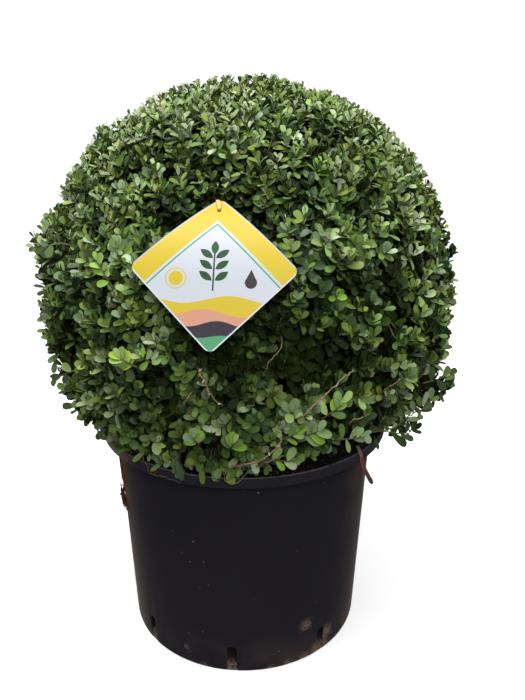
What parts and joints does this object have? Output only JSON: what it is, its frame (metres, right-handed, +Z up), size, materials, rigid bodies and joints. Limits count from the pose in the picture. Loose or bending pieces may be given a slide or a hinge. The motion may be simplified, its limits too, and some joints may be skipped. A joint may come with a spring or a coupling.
{
  "type": "clipped japanese holly ball in a nursery pot",
  "caption": "Clipped evergreen Japanese holly ball on a short stem, in a round tapered black nursery pot with a stepped collar, with a square card label hung in its foliage.",
  "frame": {"origin": "middle of the pot's flat underside", "axes": "+Z up along the pot's axis; -Y is the front, towards which the card label faces; +X to its right"},
  "size_m": [0.5445, 0.5688, 0.7638],
  "materials": {
    "pot_plastic": "satin moulded polypropylene, dusty near the base",
    "compost": "crumbly dark brown bark and coir compost",
    "bark": "fine grey-brown bark",
    "foliage": "small glossy dark green leaves in mixed tones, with fresh and clipped tips",
    "label_card": "printed white and yellow plastic card, satin"
  },
  "bodies": {
    "root": {"pot": "pot_plastic", "pot_collar": "pot_plastic", "compost": "compost", "main_stem": "bark", "bough_1": "bark", "bough_2": "bark", "bough_3": "bark", "bough_4": "bark", "bough_5": "bark", "bough_6": "bark", "bough_7": "bark", "bough_8": "bark", "clipped_ball": "foliage", "spray_left": "foliage", "spray_upper_left": "foliage", "spray_right": "foliage", "spray_lower_right": "foliage", "sprig_over_rim_right": "foliage", "spray_lower_left": "foliage", "spray_back_left": "foliage", "spray_back_right": "foliage", "spray_back_low": "foliage", "skirt_front_left": "foliage", "label": "label_card", "label_tie": "bark"}
  },
  "joints": []
}
